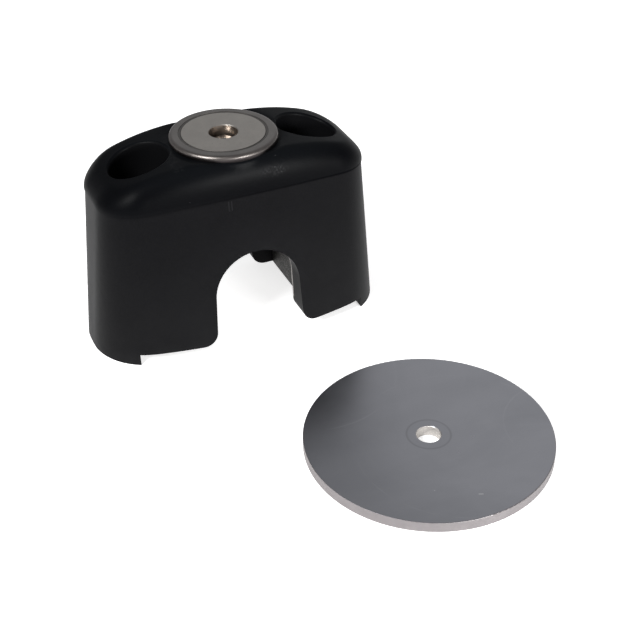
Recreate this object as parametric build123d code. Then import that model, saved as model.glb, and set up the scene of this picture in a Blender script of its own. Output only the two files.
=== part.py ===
from build123d import *
import math
import os

# Magnetic door holder: a rubber body on a bent steel strap, with a pot magnet
# screwed through both, and the round steel strike plate that the magnet holds.
# Millimetres. +Z up, +X along the body's length, -Y towards the strike plate.
# Origin under the magnet's axis, midway between the two fixing holes, on the
# underside of the foot. Heights in this file are counted from the floor that the
# lips and the strike plate stand on, and every piece is lowered by FOOT_Z at the end.

# ---- rubber body, lower part ----
BASE_HALF_LEN = 71.7      # half length at the floor
BASE_HALF_WID = 37.0      # half width at the floor, in the middle
BASE_SIDE_R = 199.0       # the sides bow outwards at the floor
BASE_CORNER_R = 28.7
PART_Z = 78.35            # height of the mould's parting line in the middle
PART_SAG = 1.8            # and its fall at 64 mm out
PART_HALF_LEN = 64.0      # half length at that height
PART_HALF_WID = 28.7
PART_SIDE_R = 440.0
PART_CORNER_R = 19.0
# ---- rubber body, crowned cap ----
CAP_LEDGE = 0.4           # the cap stands out this far over the parting line
CAP_LEDGE_END = 0.6       # and at the ends
CAP_SKIRT = 0.6           # height of that upright ledge
CROWN_Z = 94.7            # height of the crown in the middle
CAP_DROP = 0.81           # the crown falls by this much at 24.84 mm out
CAP_DROP_AT = 24.84
CAP_DROP_POW = 2.85
CAP_ROUND_SIDE = 8.6      # how far the rounding runs in from the sides
CAP_ROUND_END = 9.0       # and from the ends
COLLAR_R = 25.8           # the rubber rises round the pot to this radius
COLLAR_Z = 92.9
COLLAR_ROUND = 1.2
COLLAR_SLOPE = 4.0        # steepness of its flank
COLLAR_BLEND = 2.0
COLLAR_DIP = 0.55         # the crown dips towards the pot with this slope
CAP_INNER_R = 22.5        # the cap's surface ends inside the pot's seat
RING_N = 96               # points round the cap
RING_M = 22               # and steps from its edge to its middle
# ---- pot magnet ----
FACE_Z = 96.2             # the holding face
CUP_R = 25.0
CUP_H = 13.0              # the pot's height
CUP_WALL_IN_R = 20.65     # inner radius of the pot's wall
CUP_FLOOR = 4.7           # thickness of the pot's floor
CUP_HOLE_R = 3.3
CUP_EDGE = 1.7
RING_R = 19.6             # magnet ring
RING_BORE_R = 6.7
RING_EDGE = 0.35
FILL_SINK = 0.25          # the filler lies this far under the face
# ---- screw, washer and nut through the pot and the strap ----
SCREW_R = 3.0
HEAD_R = 5.0
HEAD_H = 4.0
HEAD_SOCKET_AF = 4.0
HEAD_SOCKET_DEPTH = 2.3
SCREW_LEN = 40.0
WASHER_R = 9.0
WASHER_T = 1.6
NUT_AF = 10.0
NUT_H = 5.0
# ---- tunnel and skirts ----
ARCH_SHIFT = 1.9          # front arch this far to +X, back arch to -X
ARCH_R = 20.9
ARCH_TOP_Z = 49.6
ARCH_DRAFT = 1.2          # the arch widens by this much each side at the foot
FOOT_Z = 5.5              # the foot's underside, above the lips
FOOT_CORNER_R = 7.0
SKIRT_IN_Y = 22.2         # inner faces of the front and back skirts
RECESS_HALF = 31.0        # half width of the hollow between the skirts
RECESS_TOP_Z = 56.0
RECESS_CORNER_R = 9.0
LIP_IN_X = 57.0           # inner faces of the lips at the two ends
LIP_SHIFT = 0.9
# ---- strap ----
STRAP_T = 3.0
# ---- pockets over the fixing holes ----
POCKET_X = 40.6
POCKET_A = 13.7           # half length of the oval, under its rounded rim
POCKET_B = 13.4
POCKET_RIM_R = 1.3
POCKET_RIM_TURN = 66.0    # degrees through which the rim is rolled
POCKET_FLARE = 0.6        # the roll runs on straight by this much, out through the surface
POCKET_FLOOR_Z = 66.0     # the oval part ends here
POCKET_NECK_Z = 54.0      # the funnel ends here
WELL_X = 44.0             # the narrow well for the fixing screw's head
WELL_R = 8.0
WELL_FLOOR_Z = 14.0
FIXING_R = 4.5
# ---- strike plate ----
PLATE_R = 54.0
PLATE_T = 5.0
PLATE_HOLE_R = 5.25
PLATE_X = 39.4
PLATE_Y = -132.5
PLATE_EDGE = 0.35

os.makedirs("parts", exist_ok=True)


def quarter(half_len, half_wid, side_r, corner_r):
    """Points of the rounded plan from the middle of the +X end to the middle of the +Y side.
    The side is an arc of side_r, the end is straight, and corner_r joins them."""
    # corner centre: corner_r inside the end, and tangent inside the side's arc
    cx = half_len - corner_r
    sy = half_wid - side_r
    cy = sy + math.sqrt((side_r - corner_r) ** 2 - cx ** 2)
    lean = math.atan2(cy - sy, cx)          # direction in which corner and side meet
    pts = [(half_len, cy * i / 3) for i in range(3)]
    pts += [(cx + corner_r * math.cos(lean * i / 9), cy + corner_r * math.sin(lean * i / 9))
            for i in range(10)]
    for i in range(1, 7):
        a = lean + (math.pi / 2 - lean) * i / 6
        pts.append((side_r * math.cos(a), sy + side_r * math.sin(a)))
    return pts


def ring_points(q):
    """The quarter's points carried round all four quarters, from the middle of the +Y side."""
    r = [(-x, y) for x, y in reversed(q[1:])]
    r += [(-x, -y) for x, y in q[:-1]]
    r += [(x, -y) for x, y in reversed(q[1:])]
    r += q[:-1]
    return r


# the cap's plan is the plan at the parting line, grown by the ledge
CAP_LEN = PART_HALF_LEN + CAP_LEDGE_END
CAP_WID = PART_HALF_WID + CAP_LEDGE
CAP_CORNER = PART_CORNER_R + CAP_LEDGE
CORNER_X = CAP_LEN - CAP_CORNER
SIDE_Y = CAP_WID - PART_SIDE_R
CORNER_Y = SIDE_Y + math.sqrt((PART_SIDE_R - CAP_CORNER) ** 2 - CORNER_X ** 2)
CORNER_LEAN = math.atan2(CORNER_Y - SIDE_Y, CORNER_X)


def part_height(x):
    return PART_Z - PART_SAG * (x / 64.0) ** 2


def inset(x, y):
    """Distance in from the cap's outline, and the direction in which the outline faces there."""
    ax, ay = abs(x), abs(y)
    th = math.atan2(ay - CORNER_Y, ax - CORNER_X)
    if ax > CORNER_X and 0 < th < CORNER_LEAN:
        return CAP_CORNER - math.hypot(ax - CORNER_X, ay - CORNER_Y), th
    side = PART_SIDE_R - math.hypot(ax, ay - SIDE_Y)
    if ay <= CORNER_Y and CAP_LEN - ax < side:
        return CAP_LEN - ax, 0.0
    return side, math.atan2(ay - SIDE_Y, ax)


def cap_height(x, y):
    """Height of the cap's surface."""
    d, turn = inset(x, y)
    base = part_height(x)
    run = CAP_ROUND_END + (CAP_ROUND_SIDE - CAP_ROUND_END) * math.sin(turn) ** 2
    crown = CROWN_Z - base - CAP_DROP * (abs(x) / CAP_DROP_AT) ** CAP_DROP_POW
    d = min(max(d, 0.0), run)
    a = base + crown * math.sqrt(max(0.0, 1 - (1 - d / run) ** 2))
    rho = math.hypot(x, y)
    # the dip next to the pot
    k = COLLAR_BLEND
    c = COLLAR_Z + max(0.0, rho - CUP_R) * COLLAR_DIP
    a = min(a, c) - k / 4 * max(0.0, 1 - abs(a - c) / k) ** 2
    # flank of the collar: flat, rounded over, then a straight slope
    lean = math.atan(COLLAR_SLOPE)
    mid = COLLAR_R - COLLAR_ROUND
    foot = mid + COLLAR_ROUND * math.sin(lean)
    if rho < mid:
        b = COLLAR_Z
    elif rho < foot:
        b = COLLAR_Z - COLLAR_ROUND + math.sqrt(COLLAR_ROUND ** 2 - (rho - mid) ** 2)
    else:
        b = COLLAR_Z - COLLAR_ROUND * (1 - math.cos(lean)) - (rho - foot) * COLLAR_SLOPE
    return max(a, b) + k / 4 * max(0.0, 1 - abs(a - b) / k) ** 2


def cap_rings():
    """Closed rings of points over the cap, from the outline under the ledge up to a circle
    inside the pot's seat. All rings have the same directions, seen from the magnet's axis."""
    plan = ring_points(quarter(CAP_LEN, CAP_WID, PART_SIDE_R, CAP_CORNER))
    # even steps along the outline
    fine = []
    m = len(plan)
    for i in range(m):
        p, q = plan[i], plan[(i + 1) % m]
        fine += [(p[0] + (q[0] - p[0]) * j / 40, p[1] + (q[1] - p[1]) * j / 40) for j in range(40)]
    run = [0.0]
    for p, q in zip(fine, fine[1:] + fine[:1]):
        run.append(run[-1] + math.hypot(q[0] - p[0], q[1] - p[1]))
    dirs, j = [], 0
    for i in range(RING_N):
        t = run[-1] * i / RING_N
        while run[j + 1] < t:
            j += 1
        dirs.append(math.atan2(fine[j][1], fine[j][0]))
    rings = [[] for _ in range(RING_M + 1)]
    for phi in dirs:
        c, s = math.cos(phi), math.sin(phi)
        # distance to the outline in this direction
        lo, hi = CAP_WID * 0.9, CAP_LEN * 1.1
        for _ in range(50):
            mid = (lo + hi) / 2
            if inset(mid * c, mid * s)[0] > 0:
                lo = mid
            else:
                hi = mid
        out = lo
        # fine profile from the outline inwards, then even steps along it
        prof = []
        for i in range(801):
            f = 1 - math.cos(math.pi / 2 * i / 800)
            rho = out - (out - CAP_INNER_R) * f
            prof.append((rho, cap_height(rho * c, rho * s) if i else part_height(rho * c)))
        run = [0.0]
        for p, q in zip(prof, prof[1:]):
            run.append(run[-1] + math.hypot(q[0] - p[0], q[1] - p[1]))
        j = 0
        for i in range(RING_M + 1):
            t = run[-1] * i / RING_M
            while j < len(run) - 2 and run[j + 1] < t:
                j += 1
            f = (t - run[j]) / (run[j + 1] - run[j])
            rho = prof[j][0] + (prof[j + 1][0] - prof[j][0]) * f
            z = prof[j][1] + (prof[j + 1][1] - prof[j][1]) * f
            rings[i].append(Vector(rho * c, rho * s, z))
    # the upright ledge
    rings.insert(0, [v - Vector(0, 0, CAP_SKIRT) for v in rings[0]])
    rings[-1] = [Vector(v.X, v.Y, COLLAR_Z) for v in rings[-1]]
    return rings


def lower_rings():
    """Closed rings of points up the drafted sides, from the floor to the underside of the ledge."""
    base = ring_points(quarter(BASE_HALF_LEN, BASE_HALF_WID, BASE_SIDE_R, BASE_CORNER_R))
    part = ring_points(quarter(PART_HALF_LEN, PART_HALF_WID, PART_SIDE_R, PART_CORNER_R))
    rings = []
    for t in (0.0, 0.35, 0.7, 1.0):
        ring = []
        for a, b in zip(base, part):
            z = t * (part_height(b[0]) - CAP_SKIRT)
            ring.append(Vector(a[0] + (b[0] - a[0]) * z / PART_Z, a[1] + (b[1] - a[1]) * z / PART_Z, z))
        rings.append(ring)
    return rings


def make_block():
    """The body's outer shape, closed from the drafted sides, the ledge and the crowned cap."""
    low = [Edge.make_spline(r, periodic=True) for r in lower_rings()]
    cap = [Edge.make_spline(r, periodic=True) for r in cap_rings()]
    faces = Shell.make_loft([Wire([e]) for e in low], False).faces()
    faces += Shell.make_loft([Wire([e]) for e in cap], False).faces()
    faces += [Face.make_surface_from_curves(low[-1], cap[0]), Face(Wire([low[0]])), Face(Wire([cap[-1]]))]
    return Solid(Shell(faces))


def pocket_mouth(sign):
    """The oval part of a pocket with its rolled rim, which follows the cap's surface."""
    n, r = 48, POCKET_RIM_R

    def ring(off, height):
        pts = []
        for i in range(n):
            t = 2 * math.pi * i / n
            nx, ny = math.cos(t) / POCKET_A, math.sin(t) / POCKET_B
            m = math.hypot(nx, ny)
            nx, ny = nx / m, ny / m
            x0, y0 = sign * POCKET_X + POCKET_A * math.cos(t), POCKET_B * math.sin(t)
            z = height(cap_height(x0 + r * nx, y0 + r * ny) - r)
            pts.append(Vector(x0 + off * nx, y0 + off * ny, z))
        return Edge.make_spline(pts, periodic=True)

    floor = ring(0, lambda c: POCKET_FLOOR_Z)
    roll = []
    for k in range(5):
        f = math.radians(POCKET_RIM_TURN) * k / 4
        roll.append(ring(r - r * math.cos(f), lambda c, f=f: c + r * math.sin(f)))
    f = math.radians(POCKET_RIM_TURN)
    flare = ring(r - r * math.cos(f) + POCKET_FLARE * math.sin(f), lambda c: c + r * math.sin(f) + POCKET_FLARE * math.cos(f))
    top = ring(r - r * math.cos(f) + POCKET_FLARE * math.sin(f), lambda c: FACE_Z + 4)
    faces = Shell.make_loft([Wire([e]) for e in roll], False).faces()
    faces += [Face.make_surface_from_curves(floor, roll[0]), Face.make_surface_from_curves(roll[-1], flare),
              Face.make_surface_from_curves(flare, top), Face(Wire([floor])), Face(Wire([top]))]
    return Solid(Shell(faces))


# ---- rubber body ----
lower = make_block()
print("block", lower.volume, lower.is_valid)

# tunnel: one arch through each skirt
arch_c = ARCH_TOP_Z - ARCH_R
foot_half = ARCH_R + ARCH_DRAFT
arch_line = [
    Line((-foot_half, -10), (-foot_half, FOOT_Z)),
    Line((-foot_half, FOOT_Z), (-ARCH_R, arch_c)),
    ThreePointArc((-ARCH_R, arch_c), (0, ARCH_TOP_Z), (ARCH_R, arch_c)),
    Line((ARCH_R, arch_c), (foot_half, FOOT_Z)),
    Line((foot_half, FOOT_Z), (foot_half, -10)),
    Line((foot_half, -10), (-foot_half, -10)),
]
arch_face = Plane.XZ * make_face(Curve() + arch_line)
lower -= Pos(ARCH_SHIFT, 0, 0) * extrude(arch_face, 60)
lower -= Pos(-ARCH_SHIFT, 0, 0) * extrude(arch_face, -60)
# the channel under the foot, between the lips
lower -= Pos(LIP_SHIFT, 0, FOOT_Z - 10) * Box(2 * LIP_IN_X, 120, 20)
# hollow between the skirts, lined by the strap
outer = RECESS_HALF + STRAP_T
hollow = Pos(0, (RECESS_TOP_Z + STRAP_T - 20) / 2) * Rectangle(2 * outer, RECESS_TOP_Z + STRAP_T + 20)
hollow = fillet(hollow.vertices().group_by(Axis.Y)[-1], RECESS_CORNER_R + STRAP_T)
lower -= extrude(Plane.XZ * hollow, SKIRT_IN_Y, both=True)

# inner corners of the skirts' feet
corners = [e for e in lower.edges()
           if abs(e.center().Z - FOOT_Z) < 0.3 and abs(e.center().Y) > SKIRT_IN_Y
           and min(abs(e.center().X - c) for c in
                   (foot_half + ARCH_SHIFT, foot_half - ARCH_SHIFT, -foot_half + ARCH_SHIFT, -foot_half - ARCH_SHIFT)) < 0.3
           and e.length > 4 and abs((e % 0.5).Y) > 0.9]
print("foot corner edges", len(corners))
lower = fillet(corners, FOOT_CORNER_R)
print("lower", lower.volume, len(lower.solids()), lower.is_valid)

rubber = lower

# seat of the pot, and the screw's hole down to the strap
rubber -= Pos(0, 0, FACE_Z - CUP_H) * extrude(Circle(CUP_R), CUP_H + 5)
rubber -= Pos(0, 0, RECESS_TOP_Z) * extrude(Circle(SCREW_R + 0.1), FACE_Z - RECESS_TOP_Z)

# pockets: an oval mouth, a funnel, a narrow well, and the fixing hole through the foot
for sign in (1, -1):
    oval = Pos(sign * POCKET_X, 0, POCKET_FLOOR_Z) * Ellipse(POCKET_A - 0.6, POCKET_B - 0.6)
    neck = Pos(sign * WELL_X, 0, POCKET_NECK_Z) * Circle(WELL_R)
    cut = extrude(oval, 1) + loft([neck, oval]) + Pos(sign * WELL_X, 0, WELL_FLOOR_Z) * extrude(
        Circle(WELL_R), POCKET_NECK_Z - WELL_FLOOR_Z)
    mouth = pocket_mouth(sign)
    print("mouth", mouth.volume, mouth.is_valid)
    rubber -= mouth
    rubber -= cut
    rubber -= Pos(sign * WELL_X, 0, FOOT_Z - 2) * extrude(Circle(FIXING_R), WELL_FLOOR_Z)
print("pockets", rubber.volume, len(rubber.solids()), rubber.is_valid)
print("rubber body", rubber.volume, rubber.is_valid)

# ---- strap: leg, top and leg, bent from one strip ----
inner = Pos(0, (RECESS_TOP_Z - 20) / 2) * Rectangle(2 * RECESS_HALF, RECESS_TOP_Z + 20)
inner = fillet(inner.vertices().group_by(Axis.Y)[-1], RECESS_CORNER_R)
strap = extrude(Plane.XZ * (hollow - inner), SKIRT_IN_Y, both=True)
strap &= Pos(0, 0, FOOT_Z + 50) * Box(200, 200, 100)
strap -= Pos(0, 0, RECESS_TOP_Z - 2) * extrude(Circle(SCREW_R + 0.3), STRAP_T + 4)

# ---- pot magnet ----
pot_z = FACE_Z - CUP_H
floor_z = pot_z + CUP_FLOOR
cup = Pos(0, 0, pot_z) * extrude(Circle(CUP_R), CUP_H)
cup -= Pos(0, 0, floor_z) * extrude(Circle(CUP_WALL_IN_R), CUP_H)
cup -= Pos(0, 0, pot_z - 1) * extrude(Circle(CUP_HOLE_R), CUP_H)
cup = fillet([e for e in cup.edges() if abs(e.center().Z - FACE_Z) < 0.01 and e.radius > CUP_R - 0.1], CUP_EDGE)
cup = chamfer([e for e in cup.edges() if abs(e.center().Z - pot_z) < 0.01 and e.radius > CUP_R - 0.1], 0.8)
ring = Pos(0, 0, floor_z) * extrude(Circle(RING_R) - Circle(RING_BORE_R), FACE_Z - floor_z)
ring = chamfer([e for e in ring.edges() if abs(e.center().Z - FACE_Z) < 0.01], RING_EDGE)
filler = Pos(0, 0, floor_z) * extrude(Circle(CUP_WALL_IN_R) - Circle(RING_R), FACE_Z - FILL_SINK - floor_z)

# ---- screw, washer and nut ----
screw = Pos(0, 0, floor_z) * extrude(Circle(HEAD_R), HEAD_H)
screw = chamfer(screw.edges().filter_by(GeomType.CIRCLE).group_by(Axis.Z)[-1], 0.4)
screw += Pos(0, 0, floor_z - SCREW_LEN) * extrude(Circle(SCREW_R), SCREW_LEN)
screw = chamfer(screw.edges().filter_by(GeomType.CIRCLE).group_by(Axis.Z)[0], 0.6)
socket = RegularPolygon(HEAD_SOCKET_AF / 2, 6, major_radius=False)
screw -= Pos(0, 0, floor_z + HEAD_H - HEAD_SOCKET_DEPTH) * extrude(socket, HEAD_SOCKET_DEPTH + 1)
washer = Pos(0, 0, RECESS_TOP_Z - WASHER_T) * extrude(Circle(WASHER_R) - Circle(SCREW_R + 0.2), WASHER_T)
nut_z = RECESS_TOP_Z - WASHER_T - NUT_H
nut = Pos(0, 0, nut_z) * extrude(RegularPolygon(NUT_AF / 2, 6, major_radius=False) - Circle(SCREW_R), NUT_H)
dome = Pos(0, 0, nut_z) * extrude(Circle(NUT_AF / 2 * 1.13), NUT_H)
dome = chamfer(dome.edges().filter_by(GeomType.CIRCLE), 0.7)
nut &= dome

# ---- strike plate ----
plate = Pos(PLATE_X, PLATE_Y, 0) * extrude(Circle(PLATE_R) - Circle(PLATE_HOLE_R), PLATE_T)
plate = fillet([e for e in plate.edges() if e.geom_type == GeomType.CIRCLE and e.radius > PLATE_R - 0.1], PLATE_EDGE)
plate = chamfer([e for e in plate.edges() if e.geom_type == GeomType.CIRCLE and e.radius < PLATE_HOLE_R + 0.1
                 and e.center().Z > PLATE_T / 2], 0.3)

for name, solid in {
        "rubber_body": rubber, "steel_saddle": strap, "magnet_cup": cup, "magnet_ring": ring,
        "filler_ring": filler, "magnet_screw": screw, "magnet_washer": washer, "magnet_nut": nut,
        "strike_plate": plate}.items():
    solid = Pos(0, 0, -FOOT_Z) * solid
    export_step(solid, "parts/" + name + ".step")
    print(name, round(solid.volume, 1), len(solid.solids()), solid.is_valid)
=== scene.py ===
import bpy, bmesh, math
from mathutils import Matrix, Vector


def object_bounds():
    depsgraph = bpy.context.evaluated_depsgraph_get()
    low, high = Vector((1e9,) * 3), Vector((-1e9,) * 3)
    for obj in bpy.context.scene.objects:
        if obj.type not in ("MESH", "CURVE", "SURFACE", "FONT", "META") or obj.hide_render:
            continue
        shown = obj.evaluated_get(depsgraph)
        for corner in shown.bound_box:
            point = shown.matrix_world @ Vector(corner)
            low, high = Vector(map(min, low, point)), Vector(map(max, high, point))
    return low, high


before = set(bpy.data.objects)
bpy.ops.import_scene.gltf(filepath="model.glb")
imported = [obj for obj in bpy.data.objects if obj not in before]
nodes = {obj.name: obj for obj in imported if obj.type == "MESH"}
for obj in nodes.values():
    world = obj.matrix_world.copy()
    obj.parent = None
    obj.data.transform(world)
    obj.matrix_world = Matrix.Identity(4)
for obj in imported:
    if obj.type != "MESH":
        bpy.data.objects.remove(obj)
cad_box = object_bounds()
LOW = cad_box[0][2]            # the surface that the body and the plate stand on
sc = bpy.context.scene
sc.view_settings.view_transform = "Standard"
sc.view_settings.look = "None"

# light levels
WORLD_BACK = 0.42
WORLD_BASE = 0.16
SOFT_LEFT = 21.0
SOFT_RIGHT = 15.5


# ---------------------------------------------------------------- node helpers
class Mat:
    """A Principled material with short calls for the nodes around it."""

    def __init__(self, name, **base):
        self.m = bpy.data.materials.new(name)
        self.m.use_nodes = True
        self.t = self.m.node_tree
        self.bsdf = self.t.nodes["Principled BSDF"]
        for k, v in base.items():
            self.bsdf.inputs[k.replace("_", " ")].default_value = v
        self.co = self.t.nodes.new("ShaderNodeTexCoord").outputs["Object"]

    def node(self, kind, **props):
        n = self.t.nodes.new(kind)
        for k, v in props.items():
            setattr(n, k, v)
        return n

    def link(self, a, b):
        self.t.links.new(a, b)

    def to(self, socket, value):
        self.link(value, self.bsdf.inputs[socket])

    def put(self, n, i, v):
        if isinstance(v, bpy.types.NodeSocket):
            self.link(v, n.inputs[i])
        else:
            n.inputs[i].default_value = v

    def noise(self, scale, detail=2.0, rough=0.5, co=None, dist=0.0):
        n = self.node("ShaderNodeTexNoise")
        n.inputs["Scale"].default_value = scale
        n.inputs["Detail"].default_value = detail
        n.inputs["Roughness"].default_value = rough
        n.inputs["Distortion"].default_value = dist
        self.link(co or self.co, n.inputs["Vector"])
        return n.outputs["Fac"]

    def voronoi(self, scale, co=None, feature="F1", rand=1.0):
        n = self.node("ShaderNodeTexVoronoi", feature=feature)
        n.inputs["Scale"].default_value = scale
        n.inputs["Randomness"].default_value = rand
        self.link(co or self.co, n.inputs["Vector"])
        return n

    def math(self, op, a, b=0.0, clamp=False):
        n = self.node("ShaderNodeMath", operation=op, use_clamp=clamp)
        self.put(n, 0, a)
        self.put(n, 1, b)
        return n.outputs[0]

    def remap(self, v, a, b, c, d, smooth=False):
        n = self.node("ShaderNodeMapRange", interpolation_type="SMOOTHSTEP" if smooth else "LINEAR")
        self.put(n, 0, v)
        for i, x in enumerate((a, b, c, d)):
            self.put(n, i + 1, x)
        return n.outputs[0]

    def mix(self, f, a, b):
        n = self.node("ShaderNodeMix", data_type="RGBA")
        self.put(n, 0, f)
        for i, x in ((6, a), (7, b)):
            if isinstance(x, bpy.types.NodeSocket):
                self.link(x, n.inputs[i])
            else:
                n.inputs[i].default_value = (*x, 1.0)
        return n.outputs[2]

    def xyz(self, co=None):
        n = self.node("ShaderNodeSeparateXYZ")
        self.link(co or self.co, n.inputs[0])
        return n.outputs

    def mapped(self, scale=(1, 1, 1), loc=(0, 0, 0)):
        n = self.node("ShaderNodeMapping")
        n.inputs["Scale"].default_value = scale
        n.inputs["Location"].default_value = loc
        self.link(self.co, n.inputs["Vector"])
        return n.outputs[0]

    def bump(self, h, strength, dist):
        n = self.node("ShaderNodeBump")
        n.inputs["Strength"].default_value = strength
        n.inputs["Distance"].default_value = dist
        self.link(h, n.inputs["Height"])
        return n

    def chain(self, *bumps):
        last = None
        for b in bumps:
            if last:
                self.link(last.outputs[0], b.inputs["Normal"])
            last = b
        self.to("Normal", last.outputs[0])


def give(node, mat):
    o = nodes[node]
    for s in o.material_slots:
        s.material = mat.m


# ---------------------------------------------------------------- materials
def specks(m, scale, rarity, size, seed=0.0):
    """Sparse round specks: 1 inside a speck."""
    v = m.voronoi(scale, co=m.mapped(loc=(seed, seed * 0.7, seed * 1.3)))
    sep = m.node("ShaderNodeSeparateColor")
    m.link(v.outputs["Color"], sep.inputs[0])
    pick = m.math("GREATER_THAN", sep.outputs[0], 1.0 - rarity)
    grow = m.remap(sep.outputs[1], 0, 1, size * 0.4, size)
    return m.math("MULTIPLY", pick, m.math("LESS_THAN", v.outputs["Distance"], grow))


def patch(m, x0, z0, rx, rz):
    """1 in the middle of an oval on the body's front, fading to 0 at its edge."""
    x, y, z = m.xyz()
    dx = m.math("DIVIDE", m.math("SUBTRACT", x, x0), rx)
    dz = m.math("DIVIDE", m.math("SUBTRACT", z, z0), rz)
    d = m.math("SQRT", m.math("ADD", m.math("MULTIPLY", dx, dx), m.math("MULTIPLY", dz, dz)))
    return m.math("MULTIPLY", m.remap(d, 0.35, 1.0, 1.0, 0.0, smooth=True), m.math("LESS_THAN", y, 0.0))


def rubber():
    m = Mat("rubber_look")
    big = m.noise(14.0, 3.0, 0.6)
    mid = m.noise(90.0, 3.0, 0.6)
    fine = m.noise(1100.0, 2.0, 0.6)
    x, y, z = m.xyz()
    # height over the mould's parting line, which falls towards the ends
    part = m.math("SUBTRACT", 0.07285, m.math("MULTIPLY", m.math("MULTIPLY", x, x), 0.44))
    over = m.math("SUBTRACT", z, part)
    # the line is crisp at the +X end and washes out towards the other
    wash = m.remap(x, -0.015, 0.045, 0.0016, 0.0)
    cap = m.remap(over, m.math("SUBTRACT", -0.0006, wash), m.math("ADD", -0.0002, wash), 0.0, 1.0)
    line = m.math("MULTIPLY", m.remap(over, -0.0012, -0.0007, 0.0, 1.0), m.remap(over, -0.0001, 0.0004, 1.0, 0.0))
    line = m.math("MULTIPLY", line, m.remap(x, -0.03, 0.045, 0.25, 1.0))
    col = m.mix(m.remap(big, 0.3, 0.7, 0.0, 1.0), (0.0024, 0.0024, 0.0029), (0.0038, 0.0038, 0.0044))
    # the lower part is painted lighter and greyer towards the floor, painted light standing in for the white floor's
    # light on it
    painted_floor_light = m.math("MULTIPLY", m.remap(z, 0.062, 0.0, 0.0, 1.0), m.remap(mid, 0.3, 0.7, 0.6, 1.0))
    col = m.mix(m.math("MULTIPLY", painted_floor_light, 0.75), col, (0.0085, 0.0085, 0.0090))
    col = m.mix(m.math("MULTIPLY", m.remap(fine, 0.35, 0.75, 0.0, 1.0), 0.25), col, (0.0080, 0.0080, 0.0086))
    # painted shade: the cap above the parting line is darker, darkest just above the line, standing in for the dark
    # band of shade there
    painted_cap_shade = m.mix(m.remap(z, 0.0800, 0.0875, 0.0, 1.0), (0.0009, 0.0011, 0.0016), (0.0031, 0.0036, 0.0044))
    col = m.mix(m.math("MULTIPLY", cap, 0.85), col, painted_cap_shade)
    # the walls of the pockets are painted lighter, painted light standing in for the light that reaches into them
    ox = m.math("DIVIDE", m.math("SUBTRACT", m.math("ABSOLUTE", x), 0.0406), 0.0140)
    oy = m.math("DIVIDE", y, 0.0137)
    pocket_light_mask = m.math("LESS_THAN", m.math("ADD", m.math("MULTIPLY", ox, ox), m.math("MULTIPLY", oy, oy)), 1.0)
    pocket_light_mask = m.math("MULTIPLY", pocket_light_mask, m.math("GREATER_THAN", z, 0.012))
    col = m.mix(m.math("MULTIPLY", pocket_light_mask, 0.8), col, (0.0044, 0.0044, 0.0048))
    # a worn grey bloom on the edges of the feet
    low = m.math("MULTIPLY", m.remap(z, 0.0035, -0.0055, 0.0, 1.0, smooth=True), m.remap(mid, 0.35, 0.7, 0.2, 1.0))
    col = m.mix(m.math("MULTIPLY", low, 0.35), col, (0.020, 0.020, 0.021))
    # dust: a few specks all over, more of them on the shoulder in front of the magnet
    dust = specks(m, 260.0, 0.018, 0.060)
    shoulder = m.math("MAXIMUM", patch(m, 0.0135, 0.0812, 0.0085, 0.0032), m.math("MULTIPLY", patch(m, -0.0290, 0.0879, 0.004, 0.0012), 0.4))
    more = m.math("MULTIPLY", specks(m, 1000.0, 0.30, 0.30, 0.31), shoulder)
    soft = m.math("MULTIPLY", m.remap(m.noise(800.0, 2.0), 0.45, 0.75, 0.0, 0.45), shoulder)
    dust = m.math("MAXIMUM", m.math("MAXIMUM", dust, more), soft)
    col = m.mix(m.math("MULTIPLY", dust, 0.5), col, (0.060, 0.060, 0.062))
    rough = m.math("ADD", m.remap(big, 0.3, 0.7, 0.38, 0.45), m.math("MULTIPLY", dust, 0.2))
    m.to("Roughness", rough)
    spec = m.math("MULTIPLY", m.remap(cap, 0.0, 1.0, 0.041, 0.035), m.remap(line, 0.0, 1.0, 1.0, 0.15))
    m.to("Specular IOR Level", m.math("MULTIPLY", spec, m.remap(x, -0.065, 0.065, 0.86, 1.12)))
    # a pale line is painted on the inner edge of the front arch: a painted highlight, the white floor's glancing
    # reflection on its rounded lip
    arch_lip_highlight = m.math("MULTIPLY", m.math("GREATER_THAN", y, -0.02335), m.math("LESS_THAN", y, -0.02225))
    arch_lip_highlight = m.math("MULTIPLY", arch_lip_highlight, m.math("LESS_THAN", m.math("ABSOLUTE", m.math("SUBTRACT", x, 0.0019)), 0.0225))
    arch_lip_highlight = m.math("MULTIPLY", arch_lip_highlight, m.math("MULTIPLY", m.math("LESS_THAN", z, 0.0450), m.math("GREATER_THAN", z, 0.0080)))
    col = m.mix(m.math("MULTIPLY", arch_lip_highlight, m.remap(mid, 0.3, 0.6, 0.4, 1.0)), col, (0.34, 0.32, 0.31))
    # small raised strokes left by the mould, under the parting line at the front
    bar = m.math("MULTIPLY", m.math("LESS_THAN", m.math("ABSOLUTE", m.math("SUBTRACT", m.math("ABSOLUTE", m.math("ADD", x, 0.0086)), 0.0007)), 0.00028),
                 m.math("MULTIPLY", m.math("GREATER_THAN", z, 0.0665), m.math("LESS_THAN", z, 0.0712)))
    bar = m.math("MULTIPLY", bar, m.math("LESS_THAN", y, 0.0))
    m.to("Base Color", m.mix(m.math("MULTIPLY", bar, 0.22), col, (0.030, 0.030, 0.032)))
    m.chain(m.bump(fine, 0.12, 0.0002), m.bump(mid, 0.10, 0.0004), m.bump(big, 0.12, 0.0008), m.bump(bar, 0.7, 0.0004))
    return m


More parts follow.
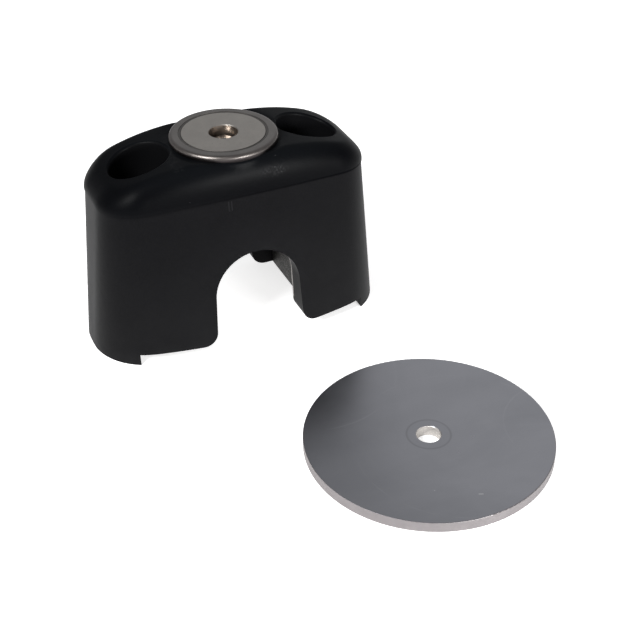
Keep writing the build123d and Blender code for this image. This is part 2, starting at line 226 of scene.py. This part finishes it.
def steel(name, color, rough, spread=0.05, blotch=60.0, grain=1500.0, grain_bump=0.12, rough_spread=0.04):
    m = Mat(name, Metallic=1.0)
    n = m.noise(blotch, 3.0, 0.6)
    f = m.noise(grain, 2.0, 0.6)
    lo = tuple(c * (1 - spread) for c in color)
    hi = tuple(c * (1 + spread) for c in color)
    m.col = m.mix(m.math("ADD", m.remap(n, 0.3, 0.7, 0, 0.6), m.remap(f, 0.3, 0.7, 0, 0.4)), lo, hi)
    m.rough = m.remap(n, 0.3, 0.7, rough - rough_spread, rough + rough_spread)
    m.grain = m.bump(f, grain_bump, 0.0001)
    m.to("Base Color", m.col)
    m.to("Roughness", m.rough)
    m.chain(m.grain)
    return m


def turned(m, spacing, strength):
    """Fine turning marks about the magnet's axis."""
    x, y, z = m.xyz()
    r = m.math("SQRT", m.math("ADD", m.math("MULTIPLY", x, x), m.math("MULTIPLY", y, y)))
    c = m.node("ShaderNodeCombineXYZ")
    m.link(r, c.inputs[0])
    return m.bump(m.noise(1.0 / spacing, 2.0, 0.7, co=c.outputs[0]), strength, 0.0001), r


def saddle():
    m = steel("saddle_look", (0.032, 0.031, 0.030), 0.55, 0.30, 45.0, 1300.0, 0.6)
    rust = m.math("MULTIPLY", m.remap(m.noise(120.0, 4.0, 0.65), 0.58, 0.75, 0, 1), 0.35)
    grit = m.remap(m.noise(1300.0, 3.0, 0.8), 0.49, 0.62, 0.0, 0.8)
    c = m.mix(grit, m.col, (0.165, 0.160, 0.154))
    m.to("Base Color", m.mix(rust, c, (0.030, 0.025, 0.021)))
    return m


def pot():
    m = steel("pot_look", (0.216, 0.203, 0.192), 0.42, 0.17, 110.0, 1700.0, 0.12)
    marks, r = turned(m, 0.00022, 0.09)
    m.link(m.grain.outputs[0], marks.inputs["Normal"])
    m.to("Normal", marks.outputs[0])
    # a slightly browner outer rim, handled most
    brown = m.math("MULTIPLY", m.remap(r, 0.0236, 0.0250, 0.0, 1.0), 0.5)
    c = m.mix(brown, m.col, (0.172, 0.152, 0.138))
    # the pot's side is painted dark, painted shade and a painted dark reflection of the rubber under the rim, darkest
    # near the rubber; its rounded edge is a little darker in colour and a little glossier
    x, y, z = m.xyz()
    edge = m.remap(r, 0.0231, 0.0240, 0.0, 1.0)
    c = m.mix(m.math("MULTIPLY", edge, 0.6), c, (0.135, 0.121, 0.115))
    c = m.mix(m.remap(z, 0.0897, 0.0889, 0.0, 1.0), c, (0.050, 0.044, 0.044))
    m.to("Base Color", m.mix(m.remap(z, 0.0888, 0.0878, 0.0, 1.0, smooth=True), c, (0.016, 0.014, 0.014)))
    m.to("Roughness", m.math("ADD", m.rough, m.math("MULTIPLY", edge, -0.02)))
    return m


def disc():
    m = steel("magnet_look", (0.398, 0.374, 0.343), 0.40, 0.09, 150.0, 1100.0, 0.16)
    spots = m.remap(m.noise(420.0, 3.0, 0.7), 0.60, 0.78, 0.0, 0.35)
    pits = m.math("MULTIPLY", specks(m, 700.0, 0.05, 0.22, 0.17), 0.5)
    x, y, z = m.xyz()
    r = m.math("SQRT", m.math("ADD", m.math("MULTIPLY", x, x), m.math("MULTIPLY", y, y)))
    bore = m.math("MULTIPLY", m.math("LESS_THAN", r, 0.00672), 0.85)
    c = m.mix(m.math("MAXIMUM", spots, pits), m.col, (0.21, 0.195, 0.18))
    c = m.mix(bore, c, (0.27, 0.222, 0.185))
    # the chamfered outer edge is painted dark, painted shade that hides the lamps' reflection there, and is made
    # rougher
    rim = m.remap(r, 0.0191, 0.01935, 0.0, 1.0)
    m.to("Base Color", m.mix(rim, c, (0.070, 0.066, 0.062)))
    m.to("Roughness", m.math("ADD", m.rough, m.math("MULTIPLY", rim, 0.3)))
    marks, r2 = turned(m, 0.00030, 0.08)
    m.link(m.grain.outputs[0], marks.inputs["Normal"])
    m.to("Normal", marks.outputs[0])
    return m


def plate():
    m = steel("plate_look", (0.412, 0.414, 0.442), 0.29, 0.035, 26.0, 1500.0, 0.05, 0.02)
    cx, cy = 0.0394, -0.1325
    x, y, z = m.xyz()
    dx, dy = m.math("SUBTRACT", x, cx), m.math("SUBTRACT", y, cy)
    r = m.math("SQRT", m.math("ADD", m.math("MULTIPLY", dx, dx), m.math("MULTIPLY", dy, dy)))
    # both flat faces; the rest is the cut edge
    top = m.math("MAXIMUM", m.math("GREATER_THAN", z, -0.00056), m.math("LESS_THAN", z, -0.00544))

    def arc(px, py, rad, wide, breaks):
        """A thin circular trace about a point of the plate, broken by slow noise."""
        ax, ay = m.math("SUBTRACT", dx, px), m.math("SUBTRACT", dy, py)
        d = m.math("SQRT", m.math("ADD", m.math("MULTIPLY", ax, ax), m.math("MULTIPLY", ay, ay)))
        line = m.remap(m.math("ABSOLUTE", m.math("SUBTRACT", d, rad)), wide * 0.4, wide, 1.0, 0.0)
        return m.math("MULTIPLY", line, m.remap(m.noise(breaks, 1.0), 0.45, 0.6, 0.0, 1.0))

    ring = m.math("MULTIPLY", m.remap(m.math("ABSOLUTE", m.math("SUBTRACT", r, 0.0095)), 0.0002, 0.0006, 1.0, 0.0), 0.35)
    inner = m.math("MULTIPLY", m.remap(r, 0.0095, 0.0090, 0.0, 1.0), 0.10)
    traces = m.math("MAXIMUM", arc(-0.030, 0.060, 0.040, 0.0005, 35.0), arc(0.060, -0.020, 0.030, 0.0005, 28.0))
    traces = m.math("MULTIPLY", m.math("MAXIMUM", traces, arc(0.010, -0.010, 0.046, 0.0004, 60.0)), 0.16)
    # one bright scratch near the front edge
    sx, sy = m.math("ADD", dx, -0.0016), m.math("ADD", dy, 0.0416)
    along = m.math("ABSOLUTE", m.math("SUBTRACT", m.math("MULTIPLY", sx, 0.91), m.math("MULTIPLY", sy, 0.41)))
    across = m.math("ABSOLUTE", m.math("ADD", m.math("MULTIPLY", sx, 0.41), m.math("MULTIPLY", sy, 0.91)))
    cut = m.math("MULTIPLY", m.math("LESS_THAN", along, 0.0010), m.math("LESS_THAN", across, 0.00018))
    smudge = m.remap(m.noise(22.0, 2.0, 0.5, dist=0.6), 0.45, 0.75, 0.0, 0.10)
    dots = m.math("MULTIPLY", specks(m, 240.0, 0.03, 0.10, 0.4), 0.5)
    c = m.mix(m.math("ADD", inner, smudge), m.col, (0.30, 0.305, 0.33))
    # rolling streaks, soft clouds, and painted shade that darkens the plate towards the -X side
    streak = m.remap(m.noise(9.0, 3.0, 0.6, co=m.mapped(scale=(1.0, 6.0, 1.0))), 0.40, 0.70, 0.0, 0.16)
    cloud = m.remap(m.noise(17.0, 4.0, 0.6, dist=1.2), 0.42, 0.66, 0.0, 0.22)
    minus_x_painted_shade = m.remap(dx, -0.048, -0.002, 0.30, 0.0, smooth=True)
    c = m.mix(m.math("ADD", streak, cloud), c, (0.285, 0.290, 0.312))
    c = m.mix(minus_x_painted_shade, c, (0.220, 0.222, 0.238))
    c = m.mix(ring, c, (0.20, 0.20, 0.21))
    c = m.mix(m.math("MAXIMUM", traces, dots), c, (0.66, 0.66, 0.68))
    c = m.mix(cut, c, (0.80, 0.80, 0.80))
    side = m.mix(m.remap(m.noise(160.0, 3.0), 0.3, 0.7, 0, 1), (0.245, 0.229, 0.232), (0.280, 0.262, 0.265))
    # the wall of the hole is bright bare metal
    side = m.mix(m.math("LESS_THAN", r, 0.0056), side, (0.50, 0.48, 0.46))
    c = m.mix(top, side, c)
    m.to("Base Color", c)
    rough = m.math("ADD", m.rough, m.math("MULTIPLY", smudge, 0.5))
    rough = m.math("ADD", rough, m.math("MULTIPLY", traces, 0.3))
    m.to("Roughness", m.remap(top, 0.0, 1.0, 0.55, rough))
    # the side keeps fine marks of the cutting, upright on the edge
    ang = m.math("ARCTAN2", dy, dx)
    cv = m.node("ShaderNodeCombineXYZ")
    m.link(m.math("MULTIPLY", ang, 0.054), cv.inputs[0])
    m.link(m.math("MULTIPLY", z, 0.25), cv.inputs[1])
    cuts = m.math("MULTIPLY", m.noise(1400.0, 2.0, 0.7, co=cv.outputs[0]), m.math("SUBTRACT", 1.0, top))
    m.chain(m.grain, m.bump(cuts, 0.5, 0.0002), m.bump(cut, 0.4, 0.0001))
    return m


give("rubber_body", rubber())
give("steel_saddle", saddle())
give("magnet_cup", pot())
give("magnet_ring", disc())
fill = Mat("filler_look", Roughness=0.6)
fill.to("Base Color", fill.mix(fill.noise(700.0), (0.030, 0.028, 0.026), (0.065, 0.061, 0.056)))
fill.chain(fill.bump(fill.noise(1500.0), 0.4, 0.0002))
give("filler_ring", fill)
give("magnet_screw", steel("screw_look", (0.62, 0.585, 0.55), 0.24, 0.1, 200.0))
give("magnet_washer", steel("washer_look", (0.55, 0.55, 0.54), 0.32))
give("magnet_nut", steel("nut_look", (0.55, 0.55, 0.54), 0.32))
give("strike_plate", plate())

# ---------------------------------------------------------------- floor, light, camera
bpy.ops.mesh.primitive_plane_add(size=8, location=(0, 0, LOW))
floor = bpy.context.object
floor.name = "floor"
fm = Mat("floor_look", Roughness=0.9)
fm.bsdf.inputs["Specular IOR Level"].default_value = 0.1
fm.to("Base Color", fm.mix(fm.noise(3.0), (0.86, 0.86, 0.862), (0.88, 0.88, 0.882)))
fm.chain(fm.bump(fm.noise(400.0), 0.05, 0.0001))
# a white studio table, lit a little from below, so that shadows stay faint; it glows brighter in a disc right under
# the body, painted light that washes out the shadow there
fm.bsdf.inputs["Emission Color"].default_value = (1.0, 0.995, 0.99, 1.0)
fx, fy, fz = fm.xyz()
fr = fm.math("SQRT", fm.math("ADD", fm.math("MULTIPLY", fx, fx), fm.math("MULTIPLY", fy, fy)))
fm.to("Emission Strength", fm.math("ADD", fm.remap(fy, -0.30, -0.60, 0.66, 0.10, smooth=True),
                                   fm.remap(fr, 0.02, 0.06, 0.16, 0.0, smooth=True)))
floor.data.materials.append(fm.m)

# the room: pale behind the table, darker on the camera's side and overhead
world = bpy.data.worlds.new("studio")
sc.world = world
world.use_nodes = True
wt = world.node_tree
bg = wt.nodes["Background"]
wc = wt.nodes.new("ShaderNodeTexCoord")
sepw = wt.nodes.new("ShaderNodeSeparateXYZ")
wt.links.new(wc.outputs["Generated"], sepw.inputs[0])


def wmath(op, a, b, clamp=False):
    n = wt.nodes.new("ShaderNodeMath")
    n.operation = op
    n.use_clamp = clamp
    for i, v in enumerate((a, b)):
        if isinstance(v, bpy.types.NodeSocket):
            wt.links.new(v, n.inputs[i])
        else:
            n.inputs[i].default_value = v
    return n.outputs[0]


# how far a direction points away from the camera, 0 to 1
back = wmath("ADD", wmath("MULTIPLY", sepw.outputs[0], 0.36), wmath("MULTIPLY", sepw.outputs[1], 0.42))
back = wmath("ADD", back, 0.5, clamp=True)
level = wmath("ADD", wmath("MULTIPLY", wmath("POWER", back, 1.6), WORLD_BACK), WORLD_BASE)
# a little more light from the right of the far wall
band = wt.nodes.new("ShaderNodeMapRange")
band.interpolation_type = "SMOOTHSTEP"
wt.links.new(wmath("ABSOLUTE", wmath("SUBTRACT", sepw.outputs[0], 0.48), 0.0), band.inputs[0])
for i, v in enumerate((0.0, 0.22, 1.13, 0.77)):
    band.inputs[i + 1].default_value = v
level = wmath("MULTIPLY", level, band.outputs[0])
comb = wt.nodes.new("ShaderNodeCombineColor")
for i, t in enumerate((0.965, 0.975, 1.0)):
    wt.links.new(wmath("MULTIPLY", level, t), comb.inputs[i])
wt.links.new(comb.outputs[0], bg.inputs[0])
bg.inputs[1].default_value = 1.0


def area(name, loc, aim, size, power, color=(1, 1, 1)):
    d = bpy.data.lights.new(name, "AREA")
    d.shape = "RECTANGLE"
    d.size, d.size_y = size
    d.energy = power
    d.color = color
    o = bpy.data.objects.new(name, d)
    sc.collection.objects.link(o)
    o.location = loc
    o.rotation_euler = (Vector(aim) - Vector(loc)).to_track_quat("-Z", "Y").to_euler()
    return o


def aimed(name, at, direction, dist, size, power):
    v = Vector(direction).normalized() * dist + Vector(at)
    return area(name, v, at, size, power)


# two soft boxes in front, left and right of the camera
aimed("soft_left", (0, -0.03, 0.08), (-0.70, -0.36, 0.60), 1.3, (0.45, 0.36), SOFT_LEFT)
aimed("soft_right", (0, -0.03, 0.08), (0.335, -0.93, 0.15), 1.3, (0.42, 0.22), SOFT_RIGHT)

cam_d = bpy.data.cameras.new("camera")
cam_d.lens = 71.09
cam_d.sensor_width = 36.0
cam = bpy.data.objects.new("camera", cam_d)
sc.collection.objects.link(cam)
fw = Vector((0.3331, 0.7464, -0.5763)).normalized()
right = Vector((fw.y, -fw.x, 0)).normalized()
down = fw.cross(right)
roll = math.radians(0.24)
r2 = math.cos(roll) * right + math.sin(roll) * down
d2 = fw.cross(r2)
rot = Matrix((r2, -d2, -fw)).transposed().to_4x4()
cam.matrix_world = Matrix.Translation((-0.17167, -0.49171, 0.35696 + LOW)) @ rot
sc.camera = cam
